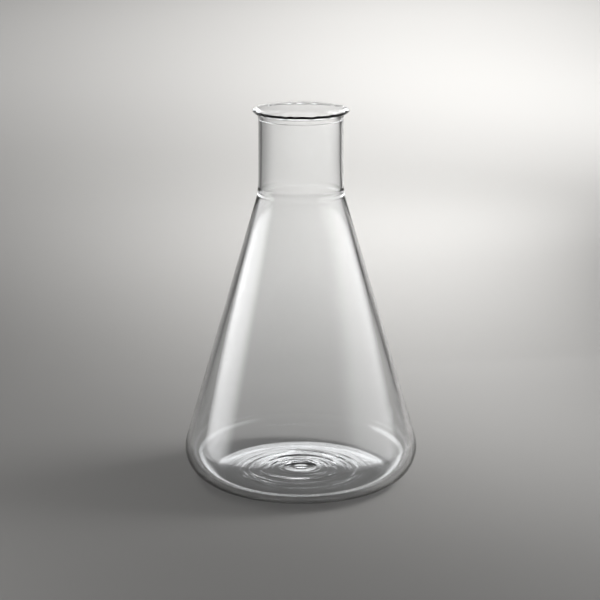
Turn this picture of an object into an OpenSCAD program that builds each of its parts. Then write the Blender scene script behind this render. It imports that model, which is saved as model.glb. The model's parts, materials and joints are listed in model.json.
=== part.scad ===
// Conical laboratory flask (Erlenmeyer), 200 mL, hand-worked clear glass.
// A neck tube with a flared rim is fused to a conical body, and a base disc
// closes the body. Every piece is a ring or disc around +Z, and z = 0 is the
// plane that the flask stands on. Millimetres.

/* [Body] */
// Largest outside diameter of the body
body_d = 80; // [72:1:90]
// Outside radius of the heel, where the wall turns into the base
heel_r = 11; // [8:0.5:13]
// Thickness of the conical wall
cone_wall = 1.8; // [1.4:0.1:2.2]

/* [Neck] */
// Outside diameter of the neck tube
neck_d = 28.6; // [27:0.2:30]
// Thickness of the neck tube
neck_wall = 1.3; // [1:0.1:1.6]
// Height at which the neck tube is fused to the body
seam_z = 100.6; // [90:0.2:106]
// How far the fused seam stands out of the neck
seam_bulge = 0.5; // [0.3:0.1:0.7]

/* [Rim] */
// Overall height of the flask
flask_h = 128.5; // [122:0.5:140]
// Outside diameter of the flared rim
rim_d = 32.4; // [31.6:0.2:33.4]
// Diameter of the fire-polished bead along the rim's edge
bead_d = 1.5; // [1.4:0.1:2]
// Radius that the neck wall is flared around
flare_r = 3; // [2.8:0.1:5]

/* [Base] */
// Thickness of the base beside the heel
base_wall = 2.2; // [1.8:0.1:3]
// Width of the flat ring that the flask stands on
foot_w = 6; // [4:0.5:8]
// How far the middle of the base is pushed up
punt_rise = 0.8; // [0.4:0.1:1.5]
// Diameter of the closing nub at the middle of the floor
nub_d = 7; // [5:0.5:10]
// How far the nub stands above the floor around it
nub_h = 0.5; // [0.2:0.1:0.9]

/* [Hidden] */
$fn = 96;

ARC_STEPS = 24;    // straight steps in each arc of an outline
SEAM_UP = 2.2;     // the seam zone's reach above the fused joint
SEAM_DOWN = 3;     // its reach below the joint
BULGE_H = 1.4;     // how far the seam's bulge reaches up and down the wall
BULGE_STEPS = 16;  // straight steps over the bulge
FLOOR_STEPS = 20;  // straight steps from the edge of the base to its middle
GLASS = [0.86, 0.93, 0.93, 0.35];

neck_r = neck_d / 2;
bore_r = neck_r - neck_wall;
body_r = body_d / 2;
rim_r = rim_d / 2;
bead_r = bead_d / 2;

// Heel: its outer arc, and the angle at which the cone leaves it, which is
// also the cone's half angle. The cone is the tangent from the seam's kink.
heel_c = [body_r - heel_r, heel_r];
kink_run = heel_c[0] - neck_r;
kink_rise = seam_z - heel_c[1];
cone_angle = atan2(kink_run, kink_rise) + asin(heel_r / norm([kink_run, kink_rise]));
// The inner arc sits higher, because the base is thicker than the wall.
inner_shift = (base_wall - cone_wall) / (1 + sin(cone_angle));
inner_heel_c = heel_c + [0, inner_shift];
inner_heel_r = heel_r + inner_shift - base_wall;

// Rim: the neck's wall is bent outwards around flare_r, and a bead ends it.
mid_r = neck_r - neck_wall / 2;
flare_angle = acos(1 - (rim_r - bead_r - mid_r) / flare_r);
flare_z = flask_h - bead_r - flare_r * sin(flare_angle);
flare_c = [mid_r + flare_r, flare_z];
bead_c = flare_c + flare_r * [-cos(flare_angle), sin(flare_angle)];

// Base: the disc's edge, and the foot ring's inner edge.
floor_r = heel_c[0];
foot_r = floor_r - foot_w;

// Radius of the cone's outer face at height z, and of its inner face.
function cone_r(z) = neck_r + (seam_z - z) * tan(cone_angle);
function cone_inner_r(z) = cone_r(z) - cone_wall / cos(cone_angle);
// Height at which the inner faces of neck and cone meet.
inner_kink_z = seam_z - (bore_r - cone_inner_r(seam_z)) / tan(cone_angle);

function polar(c, r, a) = c + r * [cos(a), sin(a)];
function arc(c, r, from, to) =
    [for (i = [0:ARC_STEPS]) polar(c, r, from + (to - from) * i / ARC_STEPS)];
function reversed(points) = [for (i = [len(points) - 1:-1:0]) points[i]];
// 1 at the middle, 0 from edge outwards, and level at both.
function dome(x, edge) = abs(x) >= edge ? 0 : pow(cos(90 * x / edge), 2);

// One closed outline, turned once around the axis.
module turned(points) {
    rotate_extrude() polygon(points);
}

// Flared lip with a fire-polished bead along its edge.
module rim() {
    outer = arc(flare_c, flare_r - neck_wall / 2, 180, 180 - flare_angle);
    inner = arc(flare_c, flare_r + neck_wall / 2, 180, 180 - flare_angle);
    color(GLASS) rotate_extrude() {
        polygon(concat(outer, reversed(inner)));
        translate(bead_c) circle(r = bead_r);
    }
}

// Straight tube that takes a stopper, and that a clamp holds.
module neck() {
    color(GLASS) turned([
        [bore_r, seam_z + SEAM_UP],
        [neck_r, seam_z + SEAM_UP],
        [neck_r, flare_z],
        [bore_r, flare_z]
    ]);
}

// Fused joint of neck tube and body, with a low bulge outside.
module neck_seam() {
    bottom = seam_z - SEAM_DOWN;
    bulge = [for (i = [BULGE_STEPS:-1:0])
        let (dz = BULGE_H * (2 * i / BULGE_STEPS - 1))
        [max(neck_r, cone_r(seam_z + dz)) + seam_bulge * dome(dz, BULGE_H), seam_z + dz]];
    color(GLASS) turned(concat(
        [[bore_r, seam_z + SEAM_UP], [neck_r, seam_z + SEAM_UP]],
        bulge,
        [[cone_r(bottom), bottom], [cone_inner_r(bottom), bottom], [bore_r, inner_kink_z]]
    ));
}

// Conical wall, from the seam zone down to the heel.
module cone() {
    top = seam_z - SEAM_DOWN;
    color(GLASS) turned([
        [cone_r(top), top],
        polar(heel_c, heel_r, cone_angle),
        polar(inner_heel_c, inner_heel_r, cone_angle),
        [cone_inner_r(top), top]
    ]);
}

// Rounded corner between the conical wall and the base.
module heel() {
    outer = arc(heel_c, heel_r, -90, cone_angle);
    inner = arc(inner_heel_c, inner_heel_r, -90, cone_angle);
    color(GLASS) turned(concat(outer, reversed(inner)));
}

// Closing disc: flat foot ring, pushed-up middle, and the nub where the glass was closed.
module base() {
    top = [for (i = [0:FLOOR_STEPS])
        let (r = floor_r * (1 - i / FLOOR_STEPS))
        [r, base_wall + punt_rise * dome(r, floor_r) + nub_h * dome(r, nub_d / 2)]];
    under = [for (i = [0:FLOOR_STEPS])
        let (r = foot_r * i / FLOOR_STEPS)
        [r, punt_rise * dome(r, foot_r)]];
    color(GLASS) turned(concat(top, under, [[floor_r, 0]]));
}

rim();
neck();
neck_seam();
cone();
heel();
base();
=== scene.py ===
import json
import math

import bpy
import numpy as np
from mathutils import Matrix, Vector


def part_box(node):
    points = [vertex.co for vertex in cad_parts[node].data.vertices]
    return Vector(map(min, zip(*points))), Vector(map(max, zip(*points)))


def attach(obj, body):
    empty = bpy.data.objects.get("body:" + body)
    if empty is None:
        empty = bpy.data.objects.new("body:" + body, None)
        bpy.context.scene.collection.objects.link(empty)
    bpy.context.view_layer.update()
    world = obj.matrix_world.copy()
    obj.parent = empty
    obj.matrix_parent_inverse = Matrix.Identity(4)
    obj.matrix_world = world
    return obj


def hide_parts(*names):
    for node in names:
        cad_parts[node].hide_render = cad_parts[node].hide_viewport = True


# An empty conical flask of hand-worked glass. Its outer and inner faces and its lip are one
# closed grid of points, with rows along the outline and columns around the axis. Each piece
# takes its own rows, so the glass is one unbroken body of smooth surfaces, in pieces that
# meet face to face as the frame's nodes do.

MM = 0.001
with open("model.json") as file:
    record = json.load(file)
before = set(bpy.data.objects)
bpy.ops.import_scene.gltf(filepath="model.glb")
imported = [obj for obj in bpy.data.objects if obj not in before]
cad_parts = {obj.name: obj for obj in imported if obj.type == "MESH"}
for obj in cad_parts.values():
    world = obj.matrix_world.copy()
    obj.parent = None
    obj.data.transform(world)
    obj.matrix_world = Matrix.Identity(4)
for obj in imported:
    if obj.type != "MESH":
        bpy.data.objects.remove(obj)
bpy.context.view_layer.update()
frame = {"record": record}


# ---------------------------------------------------------------- sizes, from the frame

def low(node):
    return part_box(node)[0]


def high(node):
    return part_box(node)[1]


mounts = {m["name"]: m for m in frame["record"]["mounts"]}
BODY_R = high("heel").x
NECK_R = high("neck").x
BORE_R = mounts["neck_bore"]["dims"]["r_mm"] * MM
RIM_R = high("rim").x
FLASK_H = high("rim").z
FLARE_Z = high("neck").z
FLOOR_R = high("base").x
SEAM_TOP = high("neck_seam").z
SEAM_BOTTOM = low("neck_seam").z

# Sizes that the frame doesn't give, as they are in part.scad.
SEAM_DOWN = 3.0 * MM
CONE_WALL = 1.8 * MM
BASE_WALL = 2.2 * MM
BEAD_R = 0.75 * MM
FLARE_R = 3.0 * MM
FOOT_W = 6.0 * MM
PUNT_RISE = 0.8 * MM

# Details of the glass that are the visual's own.
LIP_WALL = 1.0 * MM           # the wall thins to this at the lip
SEAM_BULGE = 0.25 * MM        # how far the fused seam stands out
BULGE_H = 1.6 * MM            # how far its bulge reaches up and down the wall
OUTER_SOFTNESS = 0.5 * MM     # rounding between cone and neck, outside
INNER_SOFTNESS = 1.6 * MM     # and inside
DIMPLE_R = 8.5 * MM
DIMPLE_DEPTH = 0.50 * MM
NUB_R = 3.5 * MM
NUB_H = 0.35 * MM

HEEL_R = BODY_R - FLOOR_R
SEAM_Z = SEAM_BOTTOM + SEAM_DOWN
KINK_RUN = FLOOR_R - NECK_R
KINK_RISE = SEAM_Z - HEEL_R
CONE_ANGLE = math.atan2(KINK_RUN, KINK_RISE) + math.asin(HEEL_R / math.hypot(KINK_RUN, KINK_RISE))
INNER_SHIFT = (BASE_WALL - CONE_WALL) / (1 + math.sin(CONE_ANGLE))
INNER_HEEL_R = HEEL_R + INNER_SHIFT - BASE_WALL
INNER_HEEL_Z = HEEL_R + INNER_SHIFT
WALL_R = (NECK_R + BORE_R) / 2
NECK_WALL = NECK_R - BORE_R
FLARE_ANGLE = math.acos(1 - (RIM_R - BEAD_R - WALL_R) / FLARE_R)


# ---------------------------------------------------------------- outlines, as (radius, height)

def dome(x, edge):
    """1 at the middle, 0 from edge outwards, and level at both."""
    x = np.abs(np.asarray(x, float))
    return np.where(x >= edge, 0.0, np.cos(np.minimum(x / edge, 1) * math.pi / 2) ** 2)


def soft_max(a, b, width):
    """The larger of a and b, with the corner between them rounded."""
    return (a + b + np.sqrt((a - b) ** 2 + width ** 2)) / 2


def heel_arc(centre_z, radius, count):
    """A quarter turn and more, from the base up to where the cone leaves it."""
    t = np.linspace(-math.pi / 2, CONE_ANGLE, count)
    return np.column_stack([FLOOR_R + radius * np.cos(t), centre_z + radius * np.sin(t)])


def up_wall(radius_at, z_from, z_to, count):
    z = np.linspace(z_from, z_to, count)
    return np.column_stack([radius_at(z), z])


def cone_r(z):
    return NECK_R + (SEAM_Z - z) * math.tan(CONE_ANGLE)


def outer_wall_r(z):
    """Outside radius from the heel's top to the flare: cone, seam and neck."""
    return soft_max(cone_r(z), NECK_R, OUTER_SOFTNESS) + SEAM_BULGE * dome(z - SEAM_Z, BULGE_H)


def inner_wall_r(z):
    return soft_max(cone_r(z) - CONE_WALL / math.cos(CONE_ANGLE), BORE_R, INNER_SOFTNESS)


def under_z(r):
    return PUNT_RISE * dome(r, FLOOR_R - FOOT_W)


def floor_z(r):
    dimple = DIMPLE_DEPTH * dome(r, DIMPLE_R)
    return BASE_WALL + PUNT_RISE * dome(r, FLOOR_R) - dimple + NUB_H * dome(r, NUB_R)


def across_base(height_at, count):
    r = np.linspace(MIDDLE_R, FLOOR_R, count)
    return np.column_stack([r, height_at(r)])


def flare(side, count):
    """One face of the flared wall, which thins towards the lip. side: -1 outer, 1 inner."""
    t = np.linspace(0, 1, count)
    angle = math.pi - t * FLARE_ANGLE
    reach = FLARE_R + side * (NECK_WALL + (LIP_WALL - NECK_WALL) * dome(1 - t, 1)) / 2
    return np.column_stack([WALL_R + FLARE_R + reach * np.cos(angle), FLARE_Z + reach * np.sin(angle)])


def lip(count):
    """The fire-polished edge: half an ellipse that carries the flare's two faces round."""
    t = np.linspace(0, math.pi, count)[:, None]
    centre = np.array([RIM_R - BEAD_R, FLASK_H - BEAD_R])
    outwards = np.array([math.sin(FLARE_ANGLE), math.cos(FLARE_ANGLE)])
    across = np.array([math.cos(FLARE_ANGLE), -math.sin(FLARE_ANGLE)])
    return centre + BEAD_R * np.sin(t) * outwards + LIP_WALL / 2 * np.cos(t) * across


MIDDLE_R = 0.05 * MM          # the innermost ring of points, which a small fan closes
HEEL_TOP_OUT = HEEL_R + HEEL_R * math.sin(CONE_ANGLE)
HEEL_TOP_IN = INNER_HEEL_Z + INNER_HEEL_R * math.sin(CONE_ANGLE)
PIECES = ["base", "heel", "cone", "neck_seam", "neck", "rim"]
OUTER = {
    "base": across_base(under_z, 60),
    "heel": heel_arc(HEEL_R, HEEL_R, 60),
    "cone": up_wall(outer_wall_r, HEEL_TOP_OUT, SEAM_BOTTOM, 70),
    "neck_seam": up_wall(outer_wall_r, SEAM_BOTTOM, SEAM_TOP, 60),
    "neck": up_wall(outer_wall_r, SEAM_TOP, FLARE_Z, 24),
    "rim": flare(-1, 26),
}
INNER = {
    "base": across_base(floor_z, 260),
    "heel": heel_arc(INNER_HEEL_Z, INNER_HEEL_R, 60),
    "cone": up_wall(inner_wall_r, HEEL_TOP_IN, SEAM_BOTTOM, 70),
    "neck_seam": up_wall(inner_wall_r, SEAM_BOTTOM, SEAM_TOP, 60),
    "neck": up_wall(inner_wall_r, SEAM_TOP, FLARE_Z, 24),
    "rim": flare(1, 26),
}


def whole_outline(side):
    """One face from the middle of the base to the lip, and each piece's first and last row in it."""
    parts, span, last = [side["base"]], {"base": (0, len(side["base"]) - 1)}, len(side["base"]) - 1
    for name in PIECES[1:]:
        # A piece's first point is its lower neighbour's last one.
        parts.append(side[name][1:])
        span[name] = (last, last + len(side[name]) - 1)
        last = span[name][1]
    return np.vstack(parts), span


# One loop: up the outside, over the lip, and down the inside.
outer_line, outer_span = whole_outline(OUTER)
inner_line, inner_span = whole_outline(INNER)
edge = lip(40)[1:-1]
loop = np.vstack([outer_line, edge, inner_line[::-1]])
INNER_START = len(outer_line) + len(edge)


# ---------------------------------------------------------------- surfaces

AROUND = 256                  # columns of points around the axis

# Lathe rings on the floor: wavelength across the radius in mm, height in mm, and phase.
RINGS = [(6.1, 0.038, 0.5), (4.3, 0.030, 0.0), (2.7, 0.030, 1.0)]
FINE_RING = (1.55, 0.016, 2.0)
RINGS_FROM, RINGS_FULL = 4.0, 8.0      # mm from the middle
RINGS_FADE, RINGS_TO = 21.0, 27.0
FLOOR_TOP = 6.0 * MM                   # only the inside below this height has rings

# The lip is uneven, as if it had been flattened in short stretches: waves around the axis,
# as count, height in mm and phase. Swells reach down the flare. Facets stay near the edge,
# and their fourth number is how much their width varies.
LIP_SWELLS = [(9, 0.035, 0.7), (14, 0.035, 2.1)]
LIP_FACETS = [(21, 0.075, 4.0, 1.0), (33, 0.045, 1.0, 0.0)]
LIP_DROP = 0.02
LIP_LEAN = 0.7                # the unevenness in radius, as a share of that in height
LIP_LAG = 9                   # and how many columns it trails by


def floor_rings(r, a):
    """Height of the lathe rings in metres: uneven waves that wander and break with the angle."""
    wander = 0.5 * np.sin(a + 0.6) + 0.3 * np.sin(2 * a + 2.0) + 0.2 * np.sin(3 * a)
    out = r / MM
    q = out + wander * np.clip(out / 12, 0, 1)
    rings = sum(height * np.sin(q * 2 * math.pi / length + phase) for length, height, phase in RINGS)
    length, height, phase = FINE_RING
    rings = rings + height * np.sin(q * 2 * math.pi / length + phase + 0.8 * np.sin(3 * a + 1.0))
    starts = np.clip((out - RINGS_FROM) / (RINGS_FULL - RINGS_FROM), 0, 1)
    ends = np.clip((RINGS_TO - out) / (RINGS_TO - RINGS_FADE), 0, 1)
    broken = 0.75 + 0.3 * np.sin(2 * a + out * 0.35) + 0.2 * np.sin(5 * a - out * 0.6)
    return rings * starts * ends * broken * MM


def grid():
    """Points of the whole closed surface: rows along the loop by columns around the axis."""
    a = (np.arange(AROUND) * 2 * math.pi / AROUND)[None, :] * np.ones((len(loop), 1))
    r = loop[:, 0][:, None] * np.ones(AROUND)
    z = loop[:, 1][:, None] * np.ones(AROUND)
    inside = (np.arange(len(loop)) >= INNER_START)[:, None]
    z = z + np.where(inside & (z < FLOOR_TOP), floor_rings(r, a), 0.0)
    height = np.clip((z - FLARE_Z) / (FLASK_H - FLARE_Z), 0, 1)
    swell = sum(size * np.sin(count * a + phase) for count, size, phase in LIP_SWELLS)
    facets = sum(size * np.sin(count * a + phase + bend * np.sin(3 * a))
                 for count, size, phase, bend in LIP_FACETS)
    uneven = height ** 2 * swell + height ** 5 * facets
    z = z - (LIP_DROP * height ** 2 + uneven) * MM
    r = r - (LIP_DROP * height ** 2 + LIP_LEAN * np.roll(uneven, LIP_LAG, axis=1)) * MM
    return np.stack([r * np.cos(a), r * np.sin(a), z], axis=-1)


def normals_of(p):
    along = np.gradient(p, axis=0)
    around = np.roll(p, -1, axis=1) - np.roll(p, 1, axis=1)
    n = np.cross(around, along)
    return n / np.maximum(np.linalg.norm(n, axis=-1, keepdims=True), 1e-12)


points = grid()
normals = normals_of(points)


def rows_of(name):
    """A piece's rows of the loop: up the outside, and down the inside."""
    first, last = outer_span[name]
    up = list(range(first, last + 1))
    first, last = inner_span[name]
    down = [len(loop) - 1 - i for i in range(last, first - 1, -1)]
    return up, down


def make_piece(name):
    up, down = rows_of(name)
    # The strips of surface, and the pairs of rows that clear caps join where pieces meet.
    if name == "rim":
        strips = [list(range(up[0], down[-1] + 1))]
        joints = [(down[-1], up[0])]
    else:
        strips = [up, down]
        joints = [(up[-1], down[0])] + ([] if name == "base" else [(down[-1], up[0])])
    verts, vert_normals, faces, slots, corner_normals, first_of = [], [], [], [], [], {}
    for strip in strips:
        for row in strip:
            first_of[row] = len(verts)
            verts.extend(points[row])
            vert_normals.extend(normals[row])

    def face(corners, slot, flat=None):
        faces.append(corners)
        slots.append(slot)
        corner_normals.extend(vert_normals[c] if flat is None else flat for c in corners)

    def band(from_row, to_row):
        """The quads between two rows, all the way round."""
        a, b = first_of[from_row], first_of[to_row]
        for i in range(AROUND):
            j = (i + 1) % AROUND
            yield [a + i, a + j, b + j, b + i]

    for strip in strips:
        for from_row, to_row in zip(strip, strip[1:]):
            for corners in band(from_row, to_row):
                face(corners, GLASS_SLOT)
    for from_row, to_row in joints:
        for corners in band(from_row, to_row):
            p0, p1, p3 = (Vector(verts[corners[k]]) for k in (0, 1, 3))
            face(corners, JOINT_SLOT, tuple((p1 - p0).cross(p3 - p0).normalized()))
    if name == "base":
        # A small fan closes the middle, under the base and on the floor.
        for row, sign in ((up[0], -1), (down[-1], 1)):
            centre, a = len(verts), first_of[row]
            verts.append(points[row].mean(axis=0))
            vert_normals.append(np.array([0.0, 0.0, sign]))
            for i in range(AROUND):
                j = (i + 1) % AROUND
                face([centre, a + j, a + i] if sign < 0 else [centre, a + i, a + j], GLASS_SLOT)
    mesh = bpy.data.meshes.new(name + "_glass")
    mesh.from_pydata([tuple(v) for v in verts], [], faces)
    mesh.materials.append(GLASS)
    mesh.materials.append(JOINT)
    mesh.polygons.foreach_set("material_index", slots)
    mesh.polygons.foreach_set("use_smooth", [True] * len(faces))
    mesh.normals_split_custom_set([tuple(n) for n in corner_normals])
    mesh.update()
    obj = bpy.data.objects.new(name + "_glass", mesh)
    bpy.context.scene.collection.objects.link(obj)
    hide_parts(name)
    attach(obj, "root")


# ---------------------------------------------------------------- materials

HAZE = 0.012                  # the roughest that the glass gets, where it has been handled
# Each swell of the glass's surface: how its noise is stretched, its scale, and its height.
SWELLS = [((1, 1, 0.10), 180, 0.004 * MM), ((1, 1, 0.5), 60, 0.02 * MM)]


def new_material(name):
    m = bpy.data.materials.new(name)
    m.use_nodes = True
    return m, m.node_tree.nodes["Principled BSDF"]


def noise_of(tree, coords, stretch, scale, detail):
    """Soft noise over the flask. stretch scales each axis first, so it can run in streaks."""
    mapping = tree.nodes.new("ShaderNodeMapping")
    mapping.inputs["Scale"].default_value = stretch
    tree.links.new(coords, mapping.inputs["Vector"])
    noise = tree.nodes.new("ShaderNodeTexNoise")
    noise.inputs["Scale"].default_value = scale
    noise.inputs["Detail"].default_value = detail
    tree.links.new(mapping.outputs["Vector"], noise.inputs["Vector"])
    return noise.outputs["Fac"]


def glass_material():
    """Clear glass with the faint draw lines, swell and haze of a hand-worked flask."""
    m, bsdf = new_material("clear_glass")
    tree = m.node_tree
    bsdf.inputs["Base Color"].default_value = (0.992, 0.997, 1.0, 1)
    bsdf.inputs["IOR"].default_value = 1.473
    bsdf.inputs["Transmission Weight"].default_value = 1.0
    coords = tree.nodes.new("ShaderNodeTexCoord").outputs["Object"]
    haze = tree.nodes.new("ShaderNodeMapRange")
    tree.links.new(noise_of(tree, coords, (1, 1, 1), 38, 3), haze.inputs["Value"])
    for socket, value in (("From Min", 0.42), ("From Max", 0.75), ("To Min", 0.0), ("To Max", HAZE)):
        haze.inputs[socket].default_value = value
    tree.links.new(haze.outputs["Result"], bsdf.inputs["Roughness"])
    surface = None
    for stretch, scale, height in SWELLS:
        bump = tree.nodes.new("ShaderNodeBump")
        bump.inputs["Strength"].default_value = 1.0
        bump.inputs["Distance"].default_value = height
        tree.links.new(noise_of(tree, coords, stretch, scale, 1), bump.inputs["Height"])
        if surface is not None:
            tree.links.new(surface, bump.inputs["Normal"])
        surface = bump.outputs["Normal"]
    tree.links.new(surface, bsdf.inputs["Normal"])
    return m


def joint_material():
    """Glass fused to glass: nothing is seen there."""
    m, bsdf = new_material("fused_joint")
    bsdf.inputs["Base Color"].default_value = (1, 1, 1, 1)
    bsdf.inputs["Alpha"].default_value = 0.0
    return m


def floor_material():
    m, bsdf = new_material("pale_floor")
    bsdf.inputs["Base Color"].default_value = (0.304, 0.299, 0.291, 1)
    bsdf.inputs["Roughness"].default_value = 0.30
    bsdf.inputs["Specular IOR Level"].default_value = 0.0
    return m


GLASS_SLOT, JOINT_SLOT = 0, 1
GLASS = glass_material()
JOINT = joint_material()
for piece in PIECES:
    make_piece(piece)


# ---------------------------------------------------------------- stage

FLOOR_GAP = 0.05 * MM         # the floor lies this far below the flask
FLOOR_HALF = 4.0

# Lamps that light the floor and are hidden from the glass. Each: its place, the point that it
# shines at, its size, its radiance, its full spread in degrees, and whether it casts shadows.
# The first four stand behind the flask and to its right, so the floor is brightest at the
# upper right of the picture. The fills keep the floor light in the other views.
LAMPS = [
    ("far_lamp", (0.60, 0.90, 0.75), (0.05, 1.20, 0), (0.10, 1.25), 19.0, 60, True),
    ("low_lamp_soft", (0.25, 0.22, 0.20), (0.04, 0.20, 0), (0.03, 0.50), 3.2, 57, False),
    ("low_lamp", (0.25, 0.22, 0.20), (0.04, 0.20, 0), (0.03, 0.50), 4.0, 57, True),
    ("right_lamp", (0.30, 0.25, 0.50), (0.00, 0.35, 0), (0.06, 0.40), 5.0, 40, True),
    ("front_fill", (0.0, -0.75, 0.60), (0.0, -0.75, 0), (1.40, 0.80), 2.0, 64, True),
    ("left_fill", (-0.70, -0.12, 0.50), (-0.70, -0.12, 0), (1.00, 0.25), 1.9, 60, True),
    ("right_fill", (0.70, -0.12, 0.50), (0.70, -0.12, 0), (1.00, 0.25), 1.9, 60, True),
]

# The sky, by the height z of a direction's unit vector: a tent that is brightest low down.
TENT = [(0.0, 0.25), (0.05, 0.50), (0.17, 0.50), (0.32, 0.25), (0.55, 0.15), (1.0, 0.12)]
# It is dimmer towards the front. 0 is straight at the camera's side, and 1 straight behind.
TENT_FRONT = [(0.0, 0.5), (0.6, 1.0)]
# Soft panels on the tent. Each: the azimuth of its middle from straight behind, positive to
# the right; the angles from there at which it ends and is full; its level; how bright it is at
# the horizon, as a share of that; the z from which it is full; and the z at which it ends.
PANELS = [
    (0, 64, 10, 2.5, 0.1, 0.09, 0.33),
    (-72, 36, 14, 3.3, 0.6, 0.04, 0.33),
    (85, 58, 4, 1.7, 0.6, 0.04, 0.30),
]
PANEL_FADE = 0.14             # a panel starts to fade this far in z below its end
SKY_COLOR = (0.985, 0.99, 1.0, 1)


def make_floor():
    mesh = bpy.data.meshes.new("floor")
    corners = [(x, y, -FLOOR_GAP) for y in (-FLOOR_HALF, FLOOR_HALF) for x in (-FLOOR_HALF, FLOOR_HALF)]
    mesh.from_pydata(corners, [], [(0, 1, 3, 2)])
    mesh.materials.append(floor_material())
    obj = bpy.data.objects.new("floor", mesh)
    bpy.context.scene.collection.objects.link(obj)


def make_lamp(name, place, target, size, radiance, spread, shadow):
    """A soft lamp. Radiance is what its face shines with, before the spread narrows it."""
    data = bpy.data.lights.new(name, "AREA")
    data.shape = "RECTANGLE"
    data.size, data.size_y = size
    data.energy = radiance * math.pi * size[0] * size[1]
    data.spread = math.radians(spread)
    data.use_shadow = shadow
    obj = bpy.data.objects.new(name, data)
    back = (Vector(place) - Vector(target)).normalized()
    across = Vector((0, 1, 0)).cross(back).normalized()
    turned = Matrix((across, back.cross(across), back)).transposed()
    obj.matrix_world = Matrix.Translation(place) @ turned.to_4x4()
    obj.visible_camera = obj.visible_glossy = obj.visible_transmission = False
    bpy.context.scene.collection.objects.link(obj)


def math_node(tree, operation, first, second):
    node = tree.nodes.new("ShaderNodeMath")
    node.operation = operation
    for socket, value in zip(node.inputs, (first, second)):
        if isinstance(value, (int, float)):
            socket.default_value = value
        else:
            tree.links.new(value, socket)
    return node.outputs[0]


def ramp_node(tree, value, stops):
    """A smooth curve through stops of (value, level)."""
    ramp = tree.nodes.new("ShaderNodeValToRGB")
    ramp.color_ramp.interpolation = "EASE"
    while len(ramp.color_ramp.elements) < len(stops):
        ramp.color_ramp.elements.new(0.5)
    for element, (place, level) in zip(ramp.color_ramp.elements, stops):
        element.position = place
        element.color = (level, level, level, 1)
    tree.links.new(value, ramp.inputs[0])
    return ramp.outputs["Color"]


def studio_world():
    """A large soft tent, brightest low down, with panels behind the flask and at its sides."""
    world = bpy.data.worlds.new("studio")
    bpy.context.scene.world = world
    world.use_nodes = True
    tree = world.node_tree
    split = tree.nodes.new("ShaderNodeSeparateXYZ")
    tree.links.new(tree.nodes.new("ShaderNodeTexCoord").outputs["Generated"], split.inputs[0])
    x, y, z = split.outputs
    behind = math_node(tree, "ADD", math_node(tree, "MULTIPLY", y, 0.5), 0.5)
    level = math_node(tree, "MULTIPLY", ramp_node(tree, z, TENT), ramp_node(tree, behind, TENT_FRONT))
    for azimuth, wide, full, strength, foot, full_z, end_z in PANELS:
        turn = math.radians(azimuth)
        toward = math_node(tree, "ADD", math_node(tree, "MULTIPLY", x, math.sin(turn)),
                           math_node(tree, "MULTIPLY", y, math.cos(turn)))
        across = ramp_node(tree, toward, [(math.cos(math.radians(wide)), 0.0),
                                          (math.cos(math.radians(full)), 1.0)])
        up = ramp_node(tree, z, [(0.0, foot), (full_z, 1.0), (end_z - PANEL_FADE, 1.0), (end_z, 0.0)])
        panel = math_node(tree, "MULTIPLY", math_node(tree, "MULTIPLY", across, up), strength)
        level = math_node(tree, "ADD", level, panel)
    background = tree.nodes["Background"]
    background.inputs["Color"].default_value = SKY_COLOR
    tree.links.new(level, background.inputs["Strength"])


make_floor()
for lamp in LAMPS:
    make_lamp(*lamp)
studio_world()


# ---------------------------------------------------------------- camera

PITCH = math.radians(14.3)
TARGET_Z = 62.55 * MM
DISTANCE = 750.3 * MM

camera = bpy.data.objects.new("camera", bpy.data.cameras.new("camera"))
camera.data.lens = 132.0
camera.data.sensor_width = 36.0
camera.data.clip_start = 0.01
camera.data.clip_end = 20.0
camera.data.shift_x = -0.0015
camera.location = (0, -DISTANCE * math.cos(PITCH), TARGET_Z + DISTANCE * math.sin(PITCH))
camera.rotation_euler = (math.pi / 2 - PITCH, 0, 0)
bpy.context.scene.collection.objects.link(camera)

scene = bpy.context.scene
scene.camera = camera
scene.view_settings.view_transform = "Standard"
# Light passes through many faces of glass before it leaves the flask.
scene.cycles.max_bounces = 128
scene.cycles.transmission_bounces = 128
scene.cycles.transparent_max_bounces = 32
scene.cycles.use_denoising = True
